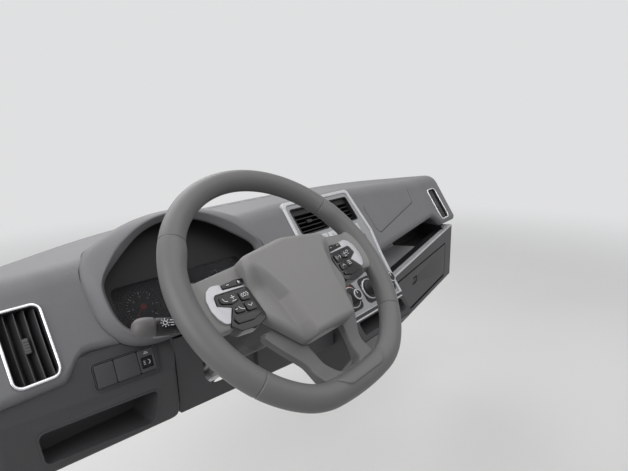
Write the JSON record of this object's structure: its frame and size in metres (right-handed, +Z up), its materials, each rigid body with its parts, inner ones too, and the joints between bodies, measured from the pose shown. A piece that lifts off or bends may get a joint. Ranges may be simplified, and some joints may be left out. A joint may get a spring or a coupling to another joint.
{
  "type": "light truck dashboard with steering wheel",
  "caption": "Left-hand-drive light truck dashboard on its cross-car beam, with steering wheel on a tilting column, instrument hood, centre stack, vents, open shelf and glove box.",
  "frame": {"origin": "middle of the cross-car beam, in the plane of its end plates", "axes": "+X across the cab to the passenger's side, +Y forward to the windscreen, +Z up"},
  "size_m": [1.38, 0.6451, 0.4843],
  "materials": {
    "beam_steel": "matte black coat",
    "pad_skin": "fine grain, dull",
    "cluster_black": "dull black",
    "dial_face": "dark print",
    "smoked_lens": "smoked, clear gloss",
    "bright_trim": "bright",
    "vent_black": "dull",
    "silver_trim": "satin silver paint",
    "panel_grey": "satin grey paint",
    "panel_dark": "fine grain",
    "key_black": "satin",
    "display_glass": "gloss black",
    "dial_black": "satin black with a bright ring",
    "lower_plastic": "fine grain",
    "shelf_plastic": "fine grain",
    "duct_black": "plain moulded",
    "column_steel": "plain",
    "shroud_plastic": "fine grain",
    "stalk_black": "satin",
    "wheel_grip": "smooth, fine grain",
    "wheel_metal": "cast",
    "wheel_plastic": "fine grain",
    "pod_gloss": "gloss black",
    "satin_trim": "satin silver paint"
  },
  "bodies": {
    "dash": {"cross_beam": "beam_steel", "column_bracket": "beam_steel", "upper_pad": "pad_skin", "instrument_hood": "pad_skin", "cluster_housing": "cluster_black", "cluster_lens": "smoked_lens", "side_vent_rings": "bright_trim", "side_vents": "vent_black", "centre_frame": "silver_trim", "centre_panel": "panel_grey", "centre_vents": "vent_black", "centre_keys": "key_black", "centre_display": "display_glass", "heater_plates": "key_black", "heater_dials": "dial_black", "centre_housing": "panel_dark", "stack_tray": "panel_dark", "stack_base": "panel_dark", "lower_driver_panel": "lower_plastic", "driver_switches": "key_black", "lower_inner_panel": "lower_plastic", "passenger_shelf": "shelf_plastic", "shelf_trim": "silver_trim", "lower_passenger_panel": "lower_plastic", "glove_bin": "duct_black", "main_duct": "duct_black", "airbag_module": "beam_steel"},
    "column": {"column_tube": "column_steel", "upper_shroud": "shroud_plastic", "lower_shroud": "shroud_plastic", "left_stalk": "stalk_black", "right_stalk": "stalk_black", "ignition_lock": "stalk_black", "tilt_lever": "stalk_black"},
    "wheel": {"steering_shaft": "column_steel", "wheel_rim": "wheel_grip", "wheel_armature": "wheel_metal", "spoke_covers": "wheel_plastic", "airbag_cover": "wheel_plastic", "switch_pods": "pod_gloss", "pod_bezels": "satin_trim", "lower_spoke_trim": "wheel_plastic", "wheel_back_cover": "wheel_plastic"},
    "glove_lid": {"glove_lid": "lower_plastic", "glove_catch": "key_black"}
  },
  "joints": [
    {"name": "column_tilt", "type": "hinge", "parent": "dash", "child": "column", "pos_m": [-0.356, -0.09075, -0.09347], "axis": [1, 0, 0], "range_deg": [-2, 4]},
    {"name": "wheel_turn", "type": "hinge", "parent": "column", "child": "wheel", "pos_m": [-0.356, -0.378, 0.185], "axis": [0, -0.7181, 0.6959], "range_deg": [-540, 540]},
    {"name": "glove_lid_hinge", "type": "hinge", "parent": "dash", "child": "glove_lid", "pos_m": [0.39408, -0.1928, -0.123], "axis": [0.9882, 0.1532, 0], "range_deg": [0, 75]}
  ]
}
